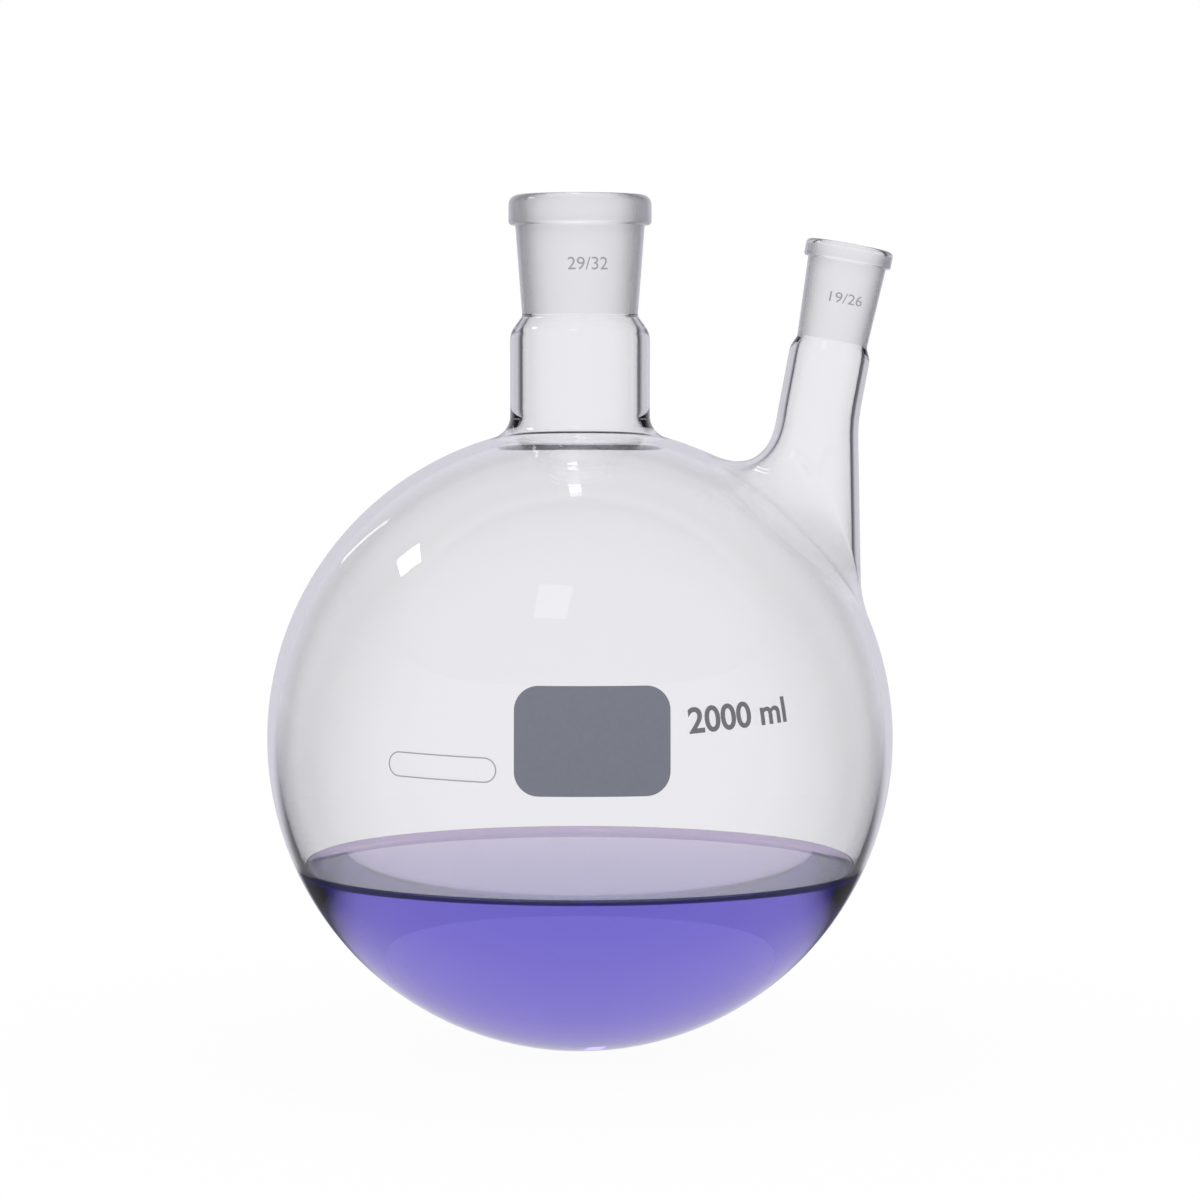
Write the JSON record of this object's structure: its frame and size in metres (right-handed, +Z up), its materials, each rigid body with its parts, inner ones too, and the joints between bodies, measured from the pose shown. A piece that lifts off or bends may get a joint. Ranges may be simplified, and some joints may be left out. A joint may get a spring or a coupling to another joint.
{
  "type": "two neck round bottom flask",
  "caption": "Round bottom glass flask with an upright centre neck and a slanted side neck, both with ground sockets, holding a little liquid.",
  "frame": {"origin": "lowest point of the round bulb, on the axis of the centre neck", "axes": "+Z up the centre neck, +X towards the slanted side neck, -Y to the side with the marking field"},
  "size_m": [0.166, 0.1662, 0.2268],
  "materials": {
    "clear_glass": "polished",
    "violet_liquid": "gloss",
    "grey_enamel": "matte"
  },
  "bodies": {
    "root": {"flask_body": "clear_glass", "liquid": "violet_liquid", "marking_field": "grey_enamel"}
  },
  "joints": []
}
